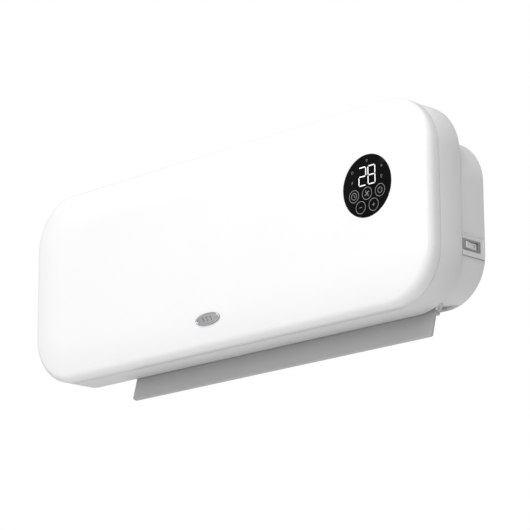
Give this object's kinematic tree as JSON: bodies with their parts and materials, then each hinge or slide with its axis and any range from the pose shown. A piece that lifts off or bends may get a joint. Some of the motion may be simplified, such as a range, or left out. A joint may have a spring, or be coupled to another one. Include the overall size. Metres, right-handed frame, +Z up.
{
  "type": "fan convector heater",
  "caption": "Wall-hung fan convector heater with a pillowed front, round touch display, bottom louvre flap, side rocker switch and cross-flow fan.",
  "frame": {"origin": "centre of the wall bracket's back face, on the wall plane", "axes": "+X to the right seen from the room, +Y into the wall, +Z up"},
  "size_m": [0.5505, 0.0869, 0.2234],
  "materials": {
    "white_gloss": "glossy moulded white",
    "white_satin": "fine satin moulded white",
    "grey_plastic": "plain moulded grey",
    "dark_plastic": "fine matt black",
    "display_light": "white light segments behind a smoked window",
    "black_lens": "polished black acrylic",
    "chrome": "bright plated",
    "zinc_steel": "zinc plated sheet and bar",
    "aluminium": "plain mill finish",
    "tinned_brass": "tinned blade terminals and sintered sleeve",
    "rubber": "matt black",
    "circuit_board": "green solder mask",
    "white_ceramic": "unglazed off-white"
  },
  "bodies": {
    "housing": {"badge": "chrome", "bearing_seat": "rubber", "bumper_left": "rubber", "bumper_right": "rubber", "buzzer": "dark_plastic", "cable_gland": "rubber", "capacitor": "dark_plastic", "case_screw_1": "zinc_steel", "case_screw_2": "zinc_steel", "case_screw_3": "zinc_steel", "case_screw_4": "zinc_steel", "control_board": "circuit_board", "digit_module": "display_light", "display_board": "circuit_board", "display_lens": "black_lens", "duct_end_left": "grey_plastic", "duct_end_right": "grey_plastic", "duct_front": "grey_plastic", "duct_rear": "grey_plastic", "end_bearing": "tinned_brass", "fan_motor": "zinc_steel", "flap_ear_left": "white_satin", "flap_ear_right": "white_satin", "front_frame": "white_satin", "front_panel": "white_gloss", "heater_core": "aluminium", "heater_holder_left": "white_ceramic", "heater_holder_right": "white_ceramic", "heater_terminal_1": "tinned_brass", "heater_terminal_2": "tinned_brass", "infrared_receiver": "dark_plastic", "inlet_grille": "white_satin", "louvre_motor": "zinc_steel", "motor_bracket": "zinc_steel", "motor_ring_left": "rubber", "motor_ring_right": "rubber", "outlet_grille": "grey_plastic", "rear_casing": "white_satin", "relay_1": "dark_plastic", "relay_2": "dark_plastic", "switch_bezel": "white_satin", "switch_body": "dark_plastic", "switch_tab_1": "tinned_brass", "switch_tab_2": "tinned_brass", "terminal_block": "grey_plastic", "thermal_cutout": "dark_plastic", "thermal_fuse": "white_ceramic", "touch_spring_1": "zinc_steel", "touch_spring_2": "zinc_steel", "touch_spring_3": "zinc_steel", "touch_spring_4": "zinc_steel", "touch_spring_5": "zinc_steel", "transformer": "grey_plastic", "wall_bracket": "zinc_steel"},
    "louvre": {"flap": "white_satin"},
    "crank": {"louvre_crank": "white_satin"},
    "link": {"louvre_link": "white_satin"},
    "rotor": {"impeller": "aluminium", "impeller_shaft": "zinc_steel"},
    "rocker": {"switch_rocker": "white_gloss"}
  },
  "joints": [
    {"name": "louvre_hinge", "type": "hinge", "parent": "housing", "child": "louvre", "pos_m": [0.037, -0.0325, -0.12179], "axis": [-1, 0, 0], "range_deg": [-110.8, 6]},
    {"name": "louvre_crank_turn", "type": "hinge", "parent": "housing", "child": "crank", "pos_m": [0.2363, -0.0405, -0.09179], "axis": [-1, 0, 0], "range_deg": [-110.8, 6]},
    {"name": "louvre_link_turn", "type": "hinge", "parent": "crank", "child": "link", "pos_m": [0.235, -0.03484, -0.09377], "axis": [-1, 0, 0], "range_deg": [-6, 110.8]},
    {"name": "fan_spin", "type": "hinge", "parent": "housing", "child": "rotor", "pos_m": [0.03475, -0.036, -0.013], "axis": [1, 0, 0], "continuous": true},
    {"name": "power_rocker", "type": "hinge", "parent": "housing", "child": "rocker", "pos_m": [0.2715, -0.0229, -0.0665], "axis": [0, 0, 1], "range_deg": [-14, 0]}
  ],
  "couplings": [
    {"joint": "louvre_crank_turn", "follows": "louvre_hinge", "ratio": 1},
    {"joint": "louvre_link_turn", "follows": "louvre_hinge", "ratio": -1}
  ]
}
